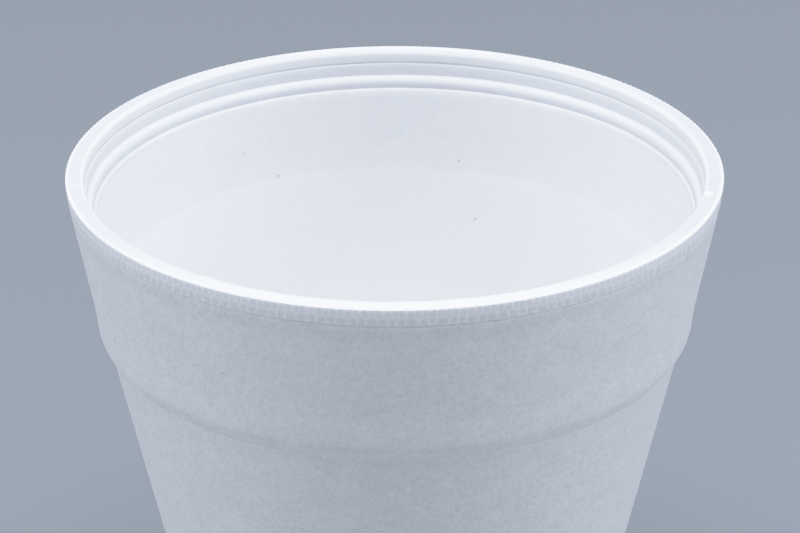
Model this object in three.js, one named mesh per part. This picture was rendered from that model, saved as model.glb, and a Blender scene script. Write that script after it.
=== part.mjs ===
import * as THREE from 'three';

// A disposable drinking cup moulded in one piece from expanded beads.
// Millimetres, +Z up, origin at the centre of the foot ring's resting face.

// Whole cup
const height = 94;
const rimDiameter = 94;
const footDiameter = 52.8;
const roundSegments = 72;

// Rim: a narrow flat lip above a band two beads tall
const lipWidth = 2.15;
const lipOuterRound = 0.5;
const lipInnerRound = 0.8;
const rimBandHeight = 3.05;
const rimBandTaper = 0.45;
const lipFlare = 0.85;
const lipDepth = 1.55;

// Parting grooves round the rim, outside and inside
const outerGrooveWidth = 0.5;
const outerGrooveDepth = 0.3;
const innerGrooveWidth = 0.4;
const innerGrooveDepth = 0.2;
const grooveRound = 0.1;

// Two stacking ledges inside the mouth, each a crisp inner corner and a rolled edge
const mouthLean = 0.45;
const upperLedgeDrop = 3.7;
const upperLedgeWidth = 0.55;
const upperLedgeRound = 0.85;
const lowerLedgeDrop = 5.65;
const lowerLedgeWidth = 0.35;
const lowerLedgeRound = 0.4;
const ledgeFall = 0.2;
const ledgeLean = 0.05;

// Outside wall: a leaning band, a steeper skirt and a rounded shoulder over a crease
const bandLean = 0.19;
const skirtDrop = 18.85;
const skirtLean = 0.12;
const skirtRound = 12;
const creaseDrop = 25.2;
const shoulderHeight = 1.75;
const shoulderWidth = 1.35;
const shoulderRound = 6.5;

// Inside wall
const innerStepDrop = 17.9;
const innerStepHeight = 0.9;
const innerStepDepth = 0.25;
const innerStepRound = 1.2;
const bandWall = 3.75;
const footWall = 2.8;

// Bottom
const floorThickness = 3.3;
const floorRound = 4;
const recessDepth = 3;
const recessRound = 1.5;
const footRingWidth = 4.2;
const footOuterRound = 1.2;
const footInnerRound = 0.6;
const recessLean = 0.35;

// A corner of the section: radius from the axis, height, fillet radius and steps in the fillet.
const corner = (radius, level, round = 0, steps = 3) => ({ point: new THREE.Vector2(radius, level), round, steps });

// A fillet leaves room for its neighbour on a shared edge.
const roomOnEdge = (from, to) => from.point.distanceTo(to.point) * (to.round > 0 ? 0.48 : 0.96);

// Points of the arc that rounds one corner, tangent to both of its edges.
function filletPoints(before, here, after) {
  if (here.round === 0) return [here.point];
  const toBefore = before.point.clone().sub(here.point).normalize();
  const toAfter = after.point.clone().sub(here.point).normalize();
  const halfAngle = Math.acos(THREE.MathUtils.clamp(toBefore.dot(toAfter), -1, 1)) / 2;
  const wanted = here.round / Math.tan(halfAngle);
  const reach = Math.min(wanted, roomOnEdge(here, before), roomOnEdge(here, after));
  const radius = reach * Math.tan(halfAngle);
  const inward = toBefore.clone().add(toAfter).normalize();
  const centre = here.point.clone().addScaledVector(inward, Math.hypot(reach, radius));
  const start = here.point.clone().addScaledVector(toBefore, reach).sub(centre);
  const end = here.point.clone().addScaledVector(toAfter, reach).sub(centre);
  const sweep = Math.atan2(start.cross(end), start.dot(end));
  return Array.from({ length: here.steps + 1 }, (_, step) =>
    start.clone().rotateAround(new THREE.Vector2(), (sweep * step) / here.steps).add(centre));
}

function roundedSection(corners) {
  const last = corners.length - 1;
  return corners.flatMap((here, i) => filletPoints(corners[Math.max(i - 1, 0)], here, corners[Math.min(i + 1, last)]));
}

// Underside: a shallow recess inside the foot ring, so the cup stands on the ring alone.
function undersideCorners() {
  const footRadius = footDiameter / 2;
  const ringInner = footRadius - footRingWidth;
  return [
    corner(0, recessDepth),
    corner(ringInner - recessDepth * recessLean, recessDepth, recessRound),
    corner(ringInner, 0, footInnerRound, 2),
    corner(footRadius, 0, footOuterRound),
  ];
}

// Outside radius of the leaning band at a drop below the rim.
const bandRadius = (drop) => rimDiameter / 2 - rimBandTaper - bandLean * (drop - rimBandHeight);

// Outside wall from the crease up to the rim's parting groove.
function outsideCorners() {
  const shoulderDrop = creaseDrop - shoulderHeight;
  const skirtRadius = bandRadius(skirtDrop);
  const shoulderRadius = skirtRadius - skirtLean * (shoulderDrop - skirtDrop);
  const grooveLow = rimBandHeight + outerGrooveWidth / 2;
  const grooveHigh = rimBandHeight - outerGrooveWidth / 2;
  const grooveRoot = bandRadius(rimBandHeight) - outerGrooveDepth;
  return [
    corner(shoulderRadius - shoulderWidth, height - creaseDrop),
    corner(shoulderRadius, height - shoulderDrop, shoulderRound, 5),
    corner(skirtRadius, height - skirtDrop, skirtRound, 3),
    corner(bandRadius(grooveLow), height - grooveLow, grooveRound, 1),
    corner(grooveRoot, height - rimBandHeight, grooveRound, 1),
    corner(bandRadius(rimBandHeight), height - grooveHigh, grooveRound, 1),
  ];
}

// Rim, mouth and its two stacking ledges, from the outer edge down to the inside wall.
function mouthCorners() {
  const lipInner = rimDiameter / 2 - lipWidth;
  const throat = lipInner - lipFlare;
  const grooveMiddle = lipDepth + innerGrooveWidth / 2;
  const grooveEnd = lipDepth + innerGrooveWidth;
  const upperBack = throat - mouthLean * (upperLedgeDrop - grooveEnd);
  const upperEdge = upperBack - upperLedgeWidth;
  const upperEdgeDrop = upperLedgeDrop + ledgeFall;
  const lowerBack = upperEdge - ledgeLean * (lowerLedgeDrop - upperEdgeDrop);
  const lowerEdge = lowerBack - lowerLedgeWidth;
  const lowerEdgeDrop = lowerLedgeDrop + ledgeFall;
  return [
    corner(rimDiameter / 2, height, lipOuterRound),
    corner(lipInner, height, lipInnerRound, 4),
    corner(throat, height - lipDepth, grooveRound, 1),
    corner(throat + innerGrooveDepth, height - grooveMiddle, grooveRound, 1),
    corner(throat, height - grooveEnd, grooveRound, 1),
    corner(upperBack, height - upperLedgeDrop),
    corner(upperEdge, height - upperEdgeDrop, upperLedgeRound, 4),
    corner(lowerBack, height - lowerLedgeDrop),
    corner(lowerEdge, height - lowerEdgeDrop, lowerLedgeRound, 3),
  ];
}

// Inside wall with its small moulded step, then the floor.
function insideCorners() {
  const stepRadius = bandRadius(innerStepDrop) - bandWall;
  const floorLevel = recessDepth + floorThickness;
  const creaseRadius = outsideCorners()[0].point.x;
  const outerLean = (creaseRadius - footDiameter / 2) / (height - creaseDrop);
  const floorRadius = footDiameter / 2 + outerLean * floorLevel - footWall;
  return [
    corner(stepRadius, height - innerStepDrop, innerStepRound, 2),
    corner(stepRadius - innerStepDepth, height - innerStepDrop - innerStepHeight, innerStepRound, 2),
    corner(floorRadius, floorLevel, floorRound, 5),
    corner(0, floorLevel),
  ];
}

// The whole section turned about Z: up the outside, over the rim and down the inside.
function makeCup() {
  const corners = [...undersideCorners(), ...outsideCorners(), ...mouthCorners(), ...insideCorners()];
  const shape = new THREE.LatheGeometry(roundedSection(corners), roundSegments);
  shape.rotateX(Math.PI / 2);
  const beadFoam = new THREE.MeshStandardMaterial({ color: 0xe9ebef, roughness: 0.8, metalness: 0 });
  const cup = new THREE.Mesh(shape, beadFoam);
  cup.name = 'cup';
  return cup;
}

const foamCup = new THREE.Group();
foamCup.add(makeCup());

export default foamCup;
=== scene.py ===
import math

import bpy
import numpy as np
from mathutils import Matrix, Vector


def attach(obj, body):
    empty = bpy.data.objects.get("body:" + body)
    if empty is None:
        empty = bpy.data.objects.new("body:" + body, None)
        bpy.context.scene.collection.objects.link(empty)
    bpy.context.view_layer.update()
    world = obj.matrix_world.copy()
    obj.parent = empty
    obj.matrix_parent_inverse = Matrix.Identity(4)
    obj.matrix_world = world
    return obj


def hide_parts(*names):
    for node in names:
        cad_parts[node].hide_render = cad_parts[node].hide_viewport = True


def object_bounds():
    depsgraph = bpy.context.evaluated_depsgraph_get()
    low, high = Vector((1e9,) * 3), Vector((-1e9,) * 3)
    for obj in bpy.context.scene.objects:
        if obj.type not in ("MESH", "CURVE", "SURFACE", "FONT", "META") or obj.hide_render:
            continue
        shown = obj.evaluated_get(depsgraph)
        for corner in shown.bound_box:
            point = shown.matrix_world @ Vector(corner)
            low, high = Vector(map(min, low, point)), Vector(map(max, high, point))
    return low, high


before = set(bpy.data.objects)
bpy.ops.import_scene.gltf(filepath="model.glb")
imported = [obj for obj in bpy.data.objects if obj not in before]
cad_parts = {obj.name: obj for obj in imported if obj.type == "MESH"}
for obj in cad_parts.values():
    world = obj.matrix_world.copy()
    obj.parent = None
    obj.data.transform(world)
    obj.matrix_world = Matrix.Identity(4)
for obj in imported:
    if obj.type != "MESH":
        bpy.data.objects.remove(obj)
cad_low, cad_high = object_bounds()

# Camera. It stands nearly half a metre from the mouth's centre and looks down over the rim, so the mouth and
# the upper half of the near wall are in view. The mouth's centre falls on one pixel of the 800 x 533 frame.
MM = 0.001
PHOTO_WIDTH = 800
PHOTO_HEIGHT = 533
SENSOR_WIDTH = 36.0
focal_pixels = 3293.7
mouth_pixel = (394.4, 166.0)
mouth_drop = 0.3 * MM
camera_distance = 470.4 * MM
camera_elevation = math.radians(23.53)
camera_roll = math.radians(0.178)
cup_height = cad_high.z


def camera_placement(target, pixel, distance, elevation, roll):
    """Stands back from the target along -Y at the elevation, facing it, then yaws and pitches
    until the target falls on its pixel, then rolls about the line of sight."""
    rise, run = math.sin(elevation), math.cos(elevation)
    facing = Matrix(((1, 0, 0), (0, rise, -run), (0, run, rise)))
    across = (pixel[0] - (PHOTO_WIDTH - 1) / 2) / focal_pixels
    up = ((PHOTO_HEIGHT - 1) / 2 - pixel[1]) / focal_pixels
    yaw = math.atan(across)
    pitch = math.atan(up * math.cos(yaw))
    turn = Matrix.Rotation(yaw, 3, "Y") @ Matrix.Rotation(-pitch, 3, "X") @ Matrix.Rotation(-roll, 3, "Z")
    place = target + Vector((0, -distance * run, distance * rise))
    return Matrix.Translation(place) @ (facing @ turn).to_4x4()


camera_data = bpy.data.cameras.new("camera")
camera_data.sensor_width = SENSOR_WIDTH
camera_data.lens = focal_pixels * SENSOR_WIDTH / PHOTO_WIDTH
camera_data.clip_start = 0.01
camera_data.clip_end = 100.0
camera = bpy.data.objects.new("camera", camera_data)
bpy.context.scene.collection.objects.link(camera)
camera.matrix_world = camera_placement(
    Vector((0, 0, cup_height - mouth_drop)), mouth_pixel, camera_distance, camera_elevation, camera_roll)
bpy.context.scene.camera = camera

# Cup wall. One shell of expanded beads, steamed together between the two halves of a polished mould.
# Its section is a chain of corners: radius, drop below the rim, and the radius of the arc that rounds it.
# Corners that lie on a straight line only hold the tones there, painted light and shade among them. All are
# in millimetres.
height = cup_height / MM
rim_radius = 47.0
foot_radius = 26.4
band_taper = 0.45
band_lean = 0.19
parting_drop = 3.05
band_end = 2.66
crease_drop = 25.2
recess_depth = 3.0
floor_level = 6.3


def band_radius(drop):
    """Outside radius of the leaning band: a straight line that draws in by its lean for each mm of drop."""
    return rim_radius - band_taper - band_lean * (drop - parting_drop)


def fillet(before, corner, after, radius, spacing):
    """Points of the arc of that radius tangent to both edges of a corner. It takes less than half of the
    shorter edge, so neighbouring arcs never meet."""
    most_of_edge = 0.48
    before, corner, after = map(np.array, (before, corner, after))
    before_length, after_length = np.linalg.norm(before - corner), np.linalg.norm(after - corner)
    one, two = (before - corner) / before_length, (after - corner) / after_length
    half = math.acos(np.clip(one @ two, -1, 1)) / 2
    reach = min(radius / math.tan(half), most_of_edge * min(before_length, after_length))
    radius = reach * math.tan(half)
    middle = (one + two) / np.linalg.norm(one + two)
    centre = corner + middle * math.hypot(reach, radius)
    start, end = corner + one * reach - centre, corner + two * reach - centre
    sweep = math.atan2(start[0] * end[1] - start[1] * end[0], start @ end)
    steps = max(2, int(round(abs(sweep) * radius / spacing)))
    turn = np.linspace(0, sweep, steps + 1)[:, None]
    square = np.array([-start[1], start[0]])
    return centre + start * np.cos(turn) + square * np.sin(turn)


def outline(corners, spacing, longest):
    """Joins the corners with straight runs and arcs, as points along the section. Arcs have a point each
    spacing, and straight runs have one at most each longest."""
    places = [np.array(corner[:2], float) for corner in corners]
    pieces = []
    for i, corner in enumerate(corners):
        rounding = corner[2]
        if rounding == 0 or i in (0, len(corners) - 1):
            pieces.append(places[i][None, :])
        else:
            pieces.append(fillet(places[i - 1], places[i], places[i + 1], rounding, spacing))
    path = [pieces[0]]
    for piece in pieces[1:]:
        start = path[-1][-1]
        count = max(1, int(math.ceil(np.linalg.norm(piece[0] - start) / longest)))
        run = start + (piece[0] - start) * (np.arange(1, count)[:, None] / count)
        path += [run, piece]
    return np.concatenate(path)


under_corners = [
    # Recess and foot ring
    (0.0, height - recess_depth, 0),
    (foot_radius - 5.25, height - recess_depth, 1.5),
    (foot_radius - 4.2, height, 0.6),
    (foot_radius, height, 1.2),
    # Crease, shoulder and leaning band
    (41.561, 25.6, 0),
    (41.621, 25.33, 0),
    (41.65, crease_drop, 0.04),
    (41.75, 25.07, 0),
    (43.0, 23.45, 5.5),
    (band_radius(18.85), 18.85, 12.0),
    (band_radius(6.0), 6.0, 0),
    (band_radius(4.2), 4.2, 0),
    # Parting groove below the rim band
    (band_radius(3.12), 3.12, 0.08),
    (band_radius(2.95) - 0.14, 2.95, 0.08),
    (band_radius(2.78), 2.78, 0.08),
    (band_radius(band_end), band_end, 0),
]
rim_corners = [
    # Rim band, up to the lip's lower outer edge
    (band_radius(band_end), band_end, 0),
    (46.835, 0.64, 0),
    (46.85, 0.5, 0),
    (46.86, 0.4, 0),
    (46.87, 0.30, 0.08),
    # Lip, with a fine line near its rolled inner edge
    (46.3, 0.05, 0.3),
    (44.92, 0.0, 0),
    (44.83, 0.14, 0),
    (44.74, 0.02, 0),
    (44.64, 0.07, 0.15),
    (44.36, 0.55, 0.2),
    (44.3, 1.1, 0),
]
inside_corners = [
    # Groove inside the lip
    (44.3, 1.1, 0),
    (44.17, 1.8, 0.08),
    (44.36, 1.93, 0.1),
    (44.06, 2.12, 0.08),
    (44.05, 2.3, 0),
    (43.99, 3.0, 0),
    # Two stacking ledges
    (43.94, 3.84, 0),
    (43.93, 3.9, 0),
    (43.35, 4.15, 0.3),
    (43.1, 4.62, 0.5),
    (43.07, 5.3, 0),
    (43.05, 5.66, 0),
    (43.05, 5.7, 0),
    (42.72, 5.92, 0.15),
    (42.62, 6.4, 0.3),
    # Inside wall with its small step, then the floor
    (42.503, 7.0, 0),
    (40.4, 17.75, 1.2),
    (40.15, 18.65, 1.2),
    (25.0, height - floor_level, 4.0),
    (0.0, height - floor_level, 0),
]
under_rows = outline(under_corners, 0.9, 8.0)
rim_rows = outline(rim_corners, 0.2, 0.26)
inside_rows = outline(inside_corners, 0.25, 9.0)
fine_columns = 1980
coarse_columns = 180
fine_per_coarse = fine_columns // coarse_columns

# Beads of the rim. Two rows of beads fill the band below the lip, squeezed against each other in the mould,
# and a third below the groove bounds them. The top row ends in round tops, so the lip's white outer edge
# comes down in a cusp between them.
bead_pitch = 1.02
top_row_middle = 0.86
top_bead_radius = 0.58
FAR_AWAY = 9.0
random = np.random.default_rng(7)


def bead_row(middle, pitch, scatter):
    """Centres of one row's beads, as angles and drops, and each bead's extra size: even steps round the
    rim, each moved by a random share of the pitch."""
    drop_share, size_share = 0.6, 0.25
    count = int(round(2 * math.pi * rim_radius / pitch))
    moves = random.uniform(-scatter, scatter, (3, count))
    angles = (np.arange(count) + 0.5 + moves[0]) * (2 * math.pi / count)
    return angles, middle + moves[1] * drop_share, moves[2] * size_share


def wrapped(turn):
    """The turn taken the nearest way round, from minus half a turn to half a turn."""
    return (turn + math.pi) % (2 * math.pi) - math.pi


bead_rows = [bead_row(top_row_middle, bead_pitch, 0.09), bead_row(1.98, 1.36, 0.24), bead_row(3.2, 1.3, 0.26)]


def bead_depth(angle, drop):
    """Depth inside the bead that holds each point: half of what its distance to the next nearest centre
    exceeds that to its own. In the upper half of the top row it is at most the depth inside a circle."""
    own = np.full(angle.shape, FAR_AWAY)
    other = own.copy()
    for centres, middles, sizes in bead_rows:
        place = np.searchsorted(centres, angle)
        for step in (-2, -1, 0, 1):
            index = (place + step) % len(centres)
            along = wrapped(angle - centres[index]) * rim_radius
            away = np.hypot(along, drop - middles[index]) - sizes[index]
            other = np.minimum(other, np.maximum(own, away))
            own = np.minimum(own, away)
    depth = 0.5 * (other - own)
    return np.where(drop < top_row_middle, np.minimum(depth, top_bead_radius - own), depth)


def top_edge(angle):
    """Drop of the top row's edge at each angle: the upper half of a circle round the nearest bead."""
    lowest_rise = 0.1
    centres = bead_rows[0][0]
    place = np.searchsorted(centres, angle)
    nearest = np.full(angle.shape, FAR_AWAY)
    for step in (-1, 0):
        along = wrapped(angle - centres[(place + step) % len(centres)]) * rim_radius
        nearest = np.minimum(nearest, np.abs(along))
    return top_row_middle - np.sqrt(np.maximum(top_bead_radius**2 - nearest**2, lowest_rise**2))


def bump(value, middle, width):
    """A bell of height 1: exp(-((value - middle) / width)^2)."""
    return np.exp(-(((value - middle) / width) ** 2))


def rise_between(value, low, high):
    """A smooth step from 0 at low to 1 at high."""
    part = np.clip((value - low) / (high - low), 0, 1)
    return part * part * (3 - 2 * part)


def stretch(value, start, end):
    """1 between two places, with a smooth rise over the start's two values and a fall over the end's."""
    return rise_between(value, *start) * (1 - rise_between(value, *end))


def arc_from(angle, degrees):
    """Signed length along the rim from the place at that many degrees."""
    return wrapped(angle - math.radians(degrees)) * rim_radius


# Forms and tones of the moulding. Beads leave creases in the band and fine ribs across the lip, most on the
# left. The gate, where the beads were blown in, leaves a stub, two streams of beads leave a weld mark, and
# a thin flap hangs at the lip's inner edge. The tones hold painted light and shade: painted shade on the
# lip's sides, ribs and fine line, painted light on the band near the lip, painted highlights and shade down
# the inside and along the outer shoulder and crease, and painted shade below the outer groove.
band_start, band_stop = (0.22, 0.34), (2.45, 2.64)
crease_depth = 0.06
crease_edge = (0.03, 0.2)
chamfer_radius = 46.3
chamfer_width = 0.57
rib_count = 430
rib_phase = random.uniform(0, 2 * math.pi)
rib_wander, wander_count = 1.5, 37
rib_start, rib_stop = (44.85, 44.95), (46.25, 46.55)
least_rib, most_rib = 0.04, 0.1
gate_angle, gate_radius, gate_height = -14.3, 45.2, 0.5
weld_angle, weld_width, weld_height = 188.9, 0.2, 0.12
weld_start, weld_stop = (44.8, 45.1), (46.1, 46.4)
flap_angle, flap_width, flap_reach = 237.0, 1.6, 0.3
outside_lightness, inside_lightness, bead_lightness = 0.5, 0.62, 0.36
inside_network = 0.35
least_wall = 1.2
upper_ledge, lower_ledge = (3.86, 4.7), (5.68, 6.6)
outer_profile = np.array(under_corners[3:])[::-1, :2]
# Lightness down the inside, at drops below the rim, is painted light and shade: painted highlights on the
# up-facing ledges and the inner step, painted shade in the groove and in the corners above the ledges, and
# painted light that grows deeper down and eases towards the floor.
inside_painted_light_and_shade = np.array([
    (0.0, 1.0), (0.55, 1.0), (0.8, 0.5), (1.8, 0.4), (1.87, 0.1), (2.0, 0.2), (2.12, 0.7), (2.3, 0.6),
    (3.0, 0.3), (3.84, 0.25), (3.9, 1.0), (4.3, 1.0), (4.62, 0.75), (5.3, 0.15), (5.66, 0.0), (5.7, 1.0),
    (6.1, 1.0), (6.5, 0.8), (7.0, inside_lightness), (17.4, 0.66), (18.2, 0.92), (19.6, 0.84), (24.0, 0.9),
    (40.0, 1.0), (60.0, 1.0), (87.0, 0.7)])


def band_beads(radius, drop, angle):
    """The radius with the band's creases pressed in and the lip's outer edge cut back to a slope that ends on
    the round tops of the beads. Also where the band is, and the lightness of its beads and creases, with
    painted light that makes the band lighter towards the lip."""
    depth = bead_depth(angle, drop)
    outer = rise_between(radius, 45.9, 46.1) * (drop < 40)
    band = outer * stretch(drop, band_start, band_stop)
    crease = 1 - rise_between(depth, *crease_edge)
    new_radius = radius - crease_depth * band * rise_between(drop, 0.3, 0.6) * crease
    slope = chamfer_radius + chamfer_width * np.maximum(drop, 0) / top_edge(angle)
    on_edge = (radius > 46.35) & (drop < 0.8)
    new_radius = np.where(on_edge, np.minimum(new_radius, slope), new_radius)
    crease_strength = 0.85 * (1 - 0.25 * rise_between(drop, 1.2, 1.6))
    # The last term is painted light: the band grows lighter towards the lip.
    tone = bead_lightness + crease_strength * crease + 0.3 * (1 - rise_between(drop, 0.6, 2.4))
    return new_radius, band, np.where(depth < 0, 1.0, tone)


def lip_marks(radius, drop, angle):
    """The drop with the lip's ribs pressed in and the stub and the weld mark standing up, and the lip's
    painted shade: most at the sides, in the ribs' valleys most on the left, and along its fine line, with
    none on the stub and the weld mark. Ribs are a wandering cosine round the rim, strongest at the sides."""
    side = np.cos(angle) ** 2
    left = 0.3 + 0.7 * rise_between(-np.cos(angle), 0.6, 0.95)
    ribs = 0.5 + 0.5 * np.cos(rib_count * angle + rib_phase + rib_wander * np.sin(wander_count * angle))
    lip = stretch(radius, rib_start, rib_stop) * (drop < 0.8)
    edge_line = 0.05 * bump(radius, chamfer_radius, 0.09) * (drop < 0.3)
    new_drop = drop + (least_rib + most_rib * side * left) * lip * ribs + edge_line
    gate = np.hypot(arc_from(angle, gate_angle) * 0.8, (radius - gate_radius) * 1.1) / 1.05
    stub = (1 - rise_between(gate, 0.55, 1.0)) * (drop < 1.2)
    weld = bump(arc_from(angle, weld_angle), 0, weld_width) * stretch(radius, weld_start, weld_stop)
    new_drop = new_drop - gate_height * stub - weld_height * weld * (drop < 0.6)
    # Painted shade along the lip's fine line near its inner edge.
    inner_line = bump(radius, 44.83, 0.12) * (drop < 0.3)
    # Painted shade, most at the lip's sides and in the ribs' valleys, most on the left.
    shade = (0.2 + 1.3 * side) * lip * (0.75 + left * 0.4 * (ribs - 0.5)) + inner_line
    return new_drop, shade * (1 - np.maximum(stub, weld))


def shaped(radius, drop, angle):
    """Radius and drop with the moulding's small forms added, how light the foam is, from its beads' faces
    at 0 to its skin at 1, with painted light and shade in it, and how much of the wall's own network of beads
    shows."""
    new_radius, band, beads = band_beads(radius, drop, angle)
    new_drop, lip_shade = lip_marks(radius, drop, angle)
    flap = bump(arc_from(angle, flap_angle), 0, flap_width) * bump(radius, 44.75, 0.35) * (drop < 1.0)
    new_radius = new_radius - flap_reach * flap
    outer_wall = radius > np.interp(drop, outer_profile[:, 1], outer_profile[:, 0]) - least_wall
    outside = (outer_wall | (drop > height - recess_depth - 1)).astype(float)
    on_upper = (drop > upper_ledge[0]) & (drop < upper_ledge[1])
    on_lower = (drop > lower_ledge[0]) & (drop < lower_ledge[1])
    ledges = on_upper | on_lower
    # Painted light and shade down the inside, with less painted highlight on the ledges at the sides.
    inside = np.interp(drop, inside_painted_light_and_shade[:, 0], inside_painted_light_and_shade[:, 1]) - 0.5 * np.cos(angle) ** 2 * ledges
    wall = inside + (outside_lightness - inside) * outside * rise_between(drop, 0.3, 2.6)
    rim = np.where(drop < 0.3, 1.0, wall) - lip_shade
    # Painted light on the outer shoulder's downward-facing underside, and a painted line along the crease: a
    # painted highlight, turning to painted shade on the left.
    crease_painted_line = 0.3 - 0.8 * rise_between(-np.cos(angle), 0.15, 0.6)
    shoulder = 0.45 * bump(drop, 24.6, 0.6) + crease_painted_line * bump(drop, crease_drop, 0.06)
    # Painted shade in a band below the outer groove.
    painted_shade_below_groove = -0.25 * bump(drop, 3.6, 0.9)
    lightness = rim * (1 - band) + beads * band + outside * (shoulder + painted_shade_below_groove)
    network = np.where(outside > 0, 1.0, inside_network) * rise_between(drop, 2.4, 2.7)
    return new_radius, new_drop, np.clip(lightness, 0, 1), network


def ring_rows(rows, columns):
    """Turns section points about Z: vertex (row, column) is (r cos a, r sin a, height - drop). Returns the
    vertices in metres, with their lightness and their share of the wall's network."""
    angle = np.repeat(np.arange(columns)[None, :] * (2 * math.pi / columns), len(rows), 0)
    radius, drop = np.repeat(rows[:, 0:1], columns, 1), np.repeat(rows[:, 1:2], columns, 1)
    radius, drop, lightness, network = shaped(radius, drop, angle)
    places = np.stack([radius * np.cos(angle), radius * np.sin(angle), height - drop], -1) * MM
    return places.reshape(-1, 3), lightness.reshape(-1), network.reshape(-1)


def strip_faces(first, rows, columns):
    """Quads between neighbouring rows and columns of a closed ring of vertices, facing out."""
    row = np.arange(rows - 1)[:, None] * columns
    column = np.arange(columns)[None, :]
    after = (column + 1) % columns
    a, b = row + column, row + after
    return (first + np.stack([a, b, b + columns, a + columns], -1)).reshape(-1, 4)


def change_faces(coarse_first, fine_first, fine_after):
    """Triangles between a coarse ring and a fine one. Each fine edge has one whose third corner is the
    nearest coarse vertex, and each coarse edge has one whose third corner is the fine vertex where that
    nearest changes. fine_after says that the fine ring comes later along the section."""
    fine = np.arange(fine_columns)
    owner = (fine + fine_per_coarse // 2) // fine_per_coarse % coarse_columns
    ends = [coarse_first + owner, fine_first + fine, fine_first + (fine + 1) % fine_columns]
    coarse = np.arange(coarse_columns)
    next_coarse = (coarse + 1) % coarse_columns
    turn = (coarse * fine_per_coarse + fine_per_coarse - fine_per_coarse // 2) % fine_columns
    base = [coarse_first + coarse, coarse_first + next_coarse, fine_first + turn]
    small, large = np.stack(ends, -1), np.stack(base, -1)
    if fine_after:
        return np.concatenate([small[:, ::-1], large])
    return np.concatenate([small, large[:, ::-1]])


def cap_faces(centre, ring, columns, upward):
    """A fan of triangles from one point on the axis to a ring, facing up or down."""
    column = np.arange(columns)
    after = (column + 1) % columns
    order = (ring + column, ring + after) if upward else (ring + after, ring + column)
    return np.stack([np.full(columns, centre), *order], -1)


def cup_mesh():
    """The whole shell: coarse rows up the outside, fine rows over the rim, coarse rows down the inside."""
    blocks, quads, triangles, firsts = [], [], [], []
    rings = (
        (under_rows[1:-1], coarse_columns), (rim_rows, fine_columns), (inside_rows[1:-1], coarse_columns))
    count = 0
    for rows, columns in rings:
        blocks.append(ring_rows(rows, columns))
        quads.append(strip_faces(count, len(rows), columns))
        firsts.append(count)
        count += len(rows) * columns
    under_last = firsts[1] - coarse_columns
    rim_last = firsts[2] - fine_columns
    triangles.append(change_faces(under_last, firsts[1], True))
    triangles.append(change_faces(firsts[2], rim_last, False))
    poles = np.array([[0, 0, (height - under_rows[0, 1]) * MM], [0, 0, (height - inside_rows[-1, 1]) * MM]])
    triangles.append(cap_faces(count, firsts[0], coarse_columns, False))
    triangles.append(cap_faces(count + 1, count - coarse_columns, coarse_columns, True))
    places = np.concatenate([block[0] for block in blocks] + [poles])
    lightnesses = np.concatenate([block[1] for block in blocks] + [np.full(2, inside_lightness)])
    networks = np.concatenate([block[2] for block in blocks] + [np.full(2, inside_network)])
    mesh = bpy.data.meshes.new("foam_cup")
    faces = [*np.concatenate(quads).tolist(), *np.concatenate(triangles).tolist()]
    mesh.from_pydata(places.tolist(), [], faces)
    mesh.update()
    for name, values in (("lightness", lightnesses), ("bead_network", networks)):
        attribute = mesh.attributes.new(name, "FLOAT", "POINT")
        attribute.data.foreach_set("value", values.astype(np.float32))
    mesh.polygons.foreach_set("use_smooth", np.ones(len(mesh.polygons), bool))
    return mesh


cup = bpy.data.objects.new("foam_cup", cup_mesh())
bpy.context.scene.collection.objects.link(cup)

# Foam and its small marks. The foam is white, with the seams of its fused beads a little lighter than their
# faces. A few beads hold a faint dark speck, some are pale, and one light scratch crosses the near wall.
# Each mark has an angle round the cup, a drop below the rim and whether it is inside.
dark_specks = [
    (124.1, 13.0, True), (116.4, 17.6, True), (75.7, 16.5, True), (71.1, 25.2, True), (-121.4, 13.9, False)]
pale_flecks = [(-102.9, 13.9, False), (-109.7, 20.2, False), (-89.6, 10.0, False), (-108.1, 5.7, False)]
scratch_start, scratch_end = (-98.4, 18.2), (-97.2, 19.3)
speck_radius, fleck_radius, scratch_radius = 0.3, 0.3, 0.16
scratch_spots = 7
bead_colour = (0.715, 0.728, 0.75, 1)
skin_colour = (0.965, 0.968, 0.972, 1)
speck_colour = (0.7, 0.7, 0.715, 1)
# How much each part of the wall's pattern adds to the lightness, and its scale in beads
seam_lift, seam_width = 0.18, 0.16
tint_reach = 0.07
mottle_reach, mottle_scale = 0.05, 0.25
fused_lift, fused_scale, fused_edge = 0.4, 0.45, (0.03, 0.13)
grain_reach, grain_scale = 0.09, 2.2
noise_range = (0.3, 0.7)
relief_depth = 0.06 * MM


def wall_place(degrees, drop, inside):
    """The point of the wall at that angle and drop, in metres: on the inside corners' line or the band's."""
    corners = np.array(inside_corners)
    radius = np.interp(drop, corners[:, 1], corners[:, 0]) if inside else band_radius(drop)
    turn = math.radians(degrees)
    return Vector((radius * math.cos(turn), radius * math.sin(turn), height - drop)) * MM


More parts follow.
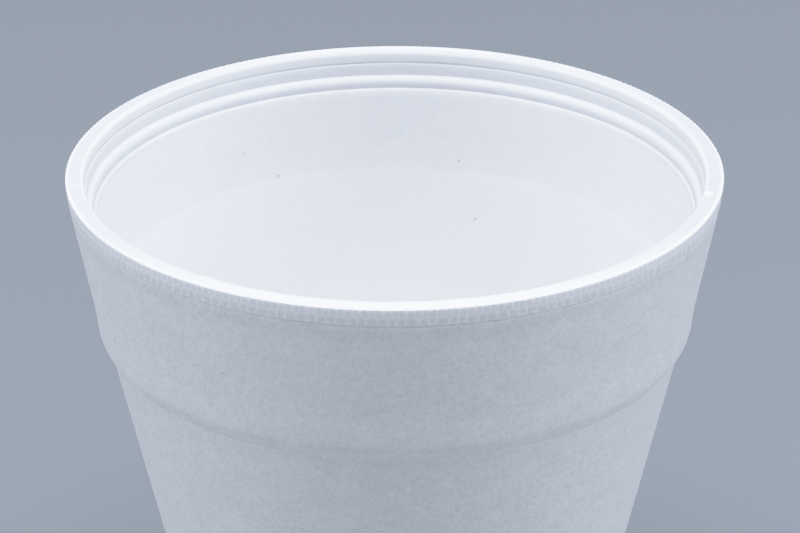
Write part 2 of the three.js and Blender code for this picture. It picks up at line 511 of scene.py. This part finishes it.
def bead_foam():
    """Matt white foam with a soft network of bead seams: seams a little lighter than the beads, each bead
    of its own faint tone over a slow mottle, and a fine relief at the same scale. Light passes a little
    way through it, as through foam."""
    material = bpy.data.materials.new("bead_foam")
    material.use_nodes = True
    nodes, links = material.node_tree.nodes, material.node_tree.links
    shader = nodes["Principled BSDF"]
    shader.inputs["Roughness"].default_value = 0.62
    shader.inputs["IOR"].default_value = 1.35
    shader.inputs["Subsurface Weight"].default_value = 0.4
    shader.inputs["Subsurface Radius"].default_value = (1.0, 1.0, 1.0)
    shader.inputs["Subsurface Scale"].default_value = MM
    place = nodes.new("ShaderNodeTexCoord").outputs["Object"]

    def texture(kind, scale, **settings):
        """A texture node of that many cells to the metre on the cup's own coordinates."""
        node = nodes.new(kind)
        node.inputs["Scale"].default_value = scale
        for name, value in settings.items():
            setattr(node, name, value)
        links.new(place, node.inputs["Vector"])
        return node

    def mapped(value, low, high, to_low, to_high):
        """A smooth step that takes low to to_low and high to to_high."""
        node = nodes.new("ShaderNodeMapRange")
        node.interpolation_type = "SMOOTHSTEP"
        links.new(value, node.inputs["Value"])
        for name, number in zip(("From Min", "From Max", "To Min", "To Max"), (low, high, to_low, to_high)):
            node.inputs[name].default_value = number
        return node.outputs["Result"]

    def joined(kind, one, two):
        """Two values put together by one Math operation."""
        node = nodes.new("ShaderNodeMath")
        node.operation = kind
        links.new(one, node.inputs[0])
        links.new(two, node.inputs[1])
        return node.outputs["Value"]

    def attribute(name):
        """A value that the mesh holds at its vertices."""
        node = nodes.new("ShaderNodeAttribute")
        node.attribute_name = name
        return node.outputs["Fac"]

    def spot(centre, radius):
        """1 within the radius of a point and 0 outside it, with a soft edge."""
        node = nodes.new("ShaderNodeVectorMath")
        node.operation = "DISTANCE"
        links.new(place, node.inputs[0])
        node.inputs[1].default_value = centre
        return mapped(node.outputs["Value"], radius * MM * 0.4, radius * MM, 1.0, 0.0)

    def any_of(spots):
        """The greatest of several values."""
        found = spots[0]
        for other in spots[1:]:
            found = joined("MAXIMUM", found, other)
        return found

    def mixed(factor, second_colour):
        """A mix of two colours by a factor, with the second one given."""
        node = nodes.new("ShaderNodeMix")
        node.data_type = "RGBA"
        node.inputs["B"].default_value = second_colour
        links.new(factor, node.inputs["Factor"])
        return node

    bead_scale = 1 / (bead_pitch * MM)
    edge = texture("ShaderNodeTexVoronoi", bead_scale, feature="DISTANCE_TO_EDGE").outputs["Distance"]
    tint = texture("ShaderNodeTexVoronoi", bead_scale, feature="F1").outputs["Color"]
    mottle = texture("ShaderNodeTexNoise", mottle_scale * bead_scale).outputs["Fac"]
    fused = texture("ShaderNodeTexVoronoi", fused_scale * bead_scale, feature="F1").outputs["Distance"]
    grain = texture("ShaderNodeTexNoise", grain_scale * bead_scale).outputs["Fac"]
    network = attribute("bead_network")
    # The mesh's lightness holds painted light and shade along with the foam's own tones.
    lightness = attribute("lightness")
    for layer in (
            mapped(edge, 0.0, seam_width, seam_lift, 0.0),
            mapped(fused, *fused_edge, fused_lift, 0.0),
            mapped(tint, 0.0, 1.0, -tint_reach, tint_reach),
            mapped(mottle, *noise_range, -mottle_reach, mottle_reach),
            mapped(grain, *noise_range, -grain_reach, grain_reach)):
        lightness = joined("ADD", lightness, joined("MULTIPLY", layer, network))
    pale = [spot(wall_place(*fleck), fleck_radius) for fleck in pale_flecks]
    for part in np.linspace(0, 1, scratch_spots):
        degrees = scratch_start[0] + (scratch_end[0] - scratch_start[0]) * part
        drop = scratch_start[1] + (scratch_end[1] - scratch_start[1]) * part
        pale.append(spot(wall_place(degrees, drop, False), scratch_radius))
    foam = mixed(joined("MAXIMUM", lightness, any_of(pale)), skin_colour)
    foam.inputs["A"].default_value = bead_colour
    specks = any_of([spot(wall_place(*speck), speck_radius) for speck in dark_specks])
    marked = mixed(specks, speck_colour)
    links.new(foam.outputs["Result"], marked.inputs["A"])
    links.new(marked.outputs["Result"], shader.inputs["Base Color"])

    relief = nodes.new("ShaderNodeBump")
    relief.inputs["Strength"].default_value = 0.3
    relief.inputs["Distance"].default_value = relief_depth
    links.new(joined("MULTIPLY", mapped(edge, 0.0, 0.3, 0.0, 1.0), network), relief.inputs["Height"])
    links.new(relief.outputs["Normal"], shader.inputs["Normal"])
    return material


cup.data.materials.append(bead_foam())
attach(cup, "root")
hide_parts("cup")

# Studio. A pale matt floor runs far back under a broad soft light from above, with a card on each side.
# A weak low card in front lifts the near wall, which otherwise has only what the floor and sky send back.
floor_size = 6.0
floor_colour = (0.275, 0.296, 0.319, 1)
half_floor = floor_size / 2
floor_corners = [(-half_floor, -half_floor, 0), (half_floor, -half_floor, 0),
                 (half_floor, half_floor, 0), (-half_floor, half_floor, 0)]
floor_mesh = bpy.data.meshes.new("floor")
floor_mesh.from_pydata(floor_corners, [], [(0, 1, 2, 3)])
floor = bpy.data.objects.new("floor", floor_mesh)
bpy.context.scene.collection.objects.link(floor)
floor_material = bpy.data.materials.new("floor")
floor_material.use_nodes = True
floor_shader = floor_material.node_tree.nodes["Principled BSDF"]
floor_shader.inputs["Base Color"].default_value = floor_colour
floor_shader.inputs["Roughness"].default_value = 0.9
floor_mesh.materials.append(floor_material)

cup_middle = Vector((0, 0, cup_height / 2))
cool_white = (0.864, 0.904, 1.0)
sky_strength = 0.22


def soft_light(name, place, size, power):
    """A square area light of that size in metres and power in watts, facing the middle of the cup."""
    data = bpy.data.lights.new(name, "AREA")
    data.shape = "SQUARE"
    data.size = size
    data.energy = power
    data.color = cool_white
    light = bpy.data.objects.new(name, data)
    bpy.context.scene.collection.objects.link(light)
    light.location = place
    light.rotation_euler = (cup_middle - Vector(place)).to_track_quat("-Z", "Y").to_euler()


soft_light("overhead", (0, 0, 1.2), 1.2, 17.2)
soft_light("left_card", (-1.2, 0, 0.45), 0.8, 5.9)
soft_light("right_card", (1.2, 0, 0.45), 0.8, 6.6)
soft_light("low_card", (0, -0.45, 0.02), 0.5, 0.6)

world = bpy.data.worlds.new("studio")
world.use_nodes = True
background = world.node_tree.nodes["Background"]
background.inputs["Color"].default_value = (*cool_white, 1)
background.inputs["Strength"].default_value = sky_strength
bpy.context.scene.world = world

# Film. Tones up to three fifths of white stay as they are. Brighter ones ease off, up to the brightest that
# the film holds, so the lip keeps its ribs.
brightest = 1.6
film_tones = ((0.3, 0.3), (0.6, 0.6), (0.8, 0.775), (1.0, 0.885), (1.2, 0.95))
view = bpy.context.scene.view_settings
view.view_transform = "Standard"
view.use_curve_mapping = True
view.curve_mapping.clip_max_x = brightest
tone_curve = view.curve_mapping.curves[3]
tone_curve.points[-1].location = (brightest, 1.0)
for scene_tone, shown_tone in film_tones:
    tone_curve.points.new(scene_tone, shown_tone)
view.curve_mapping.update()
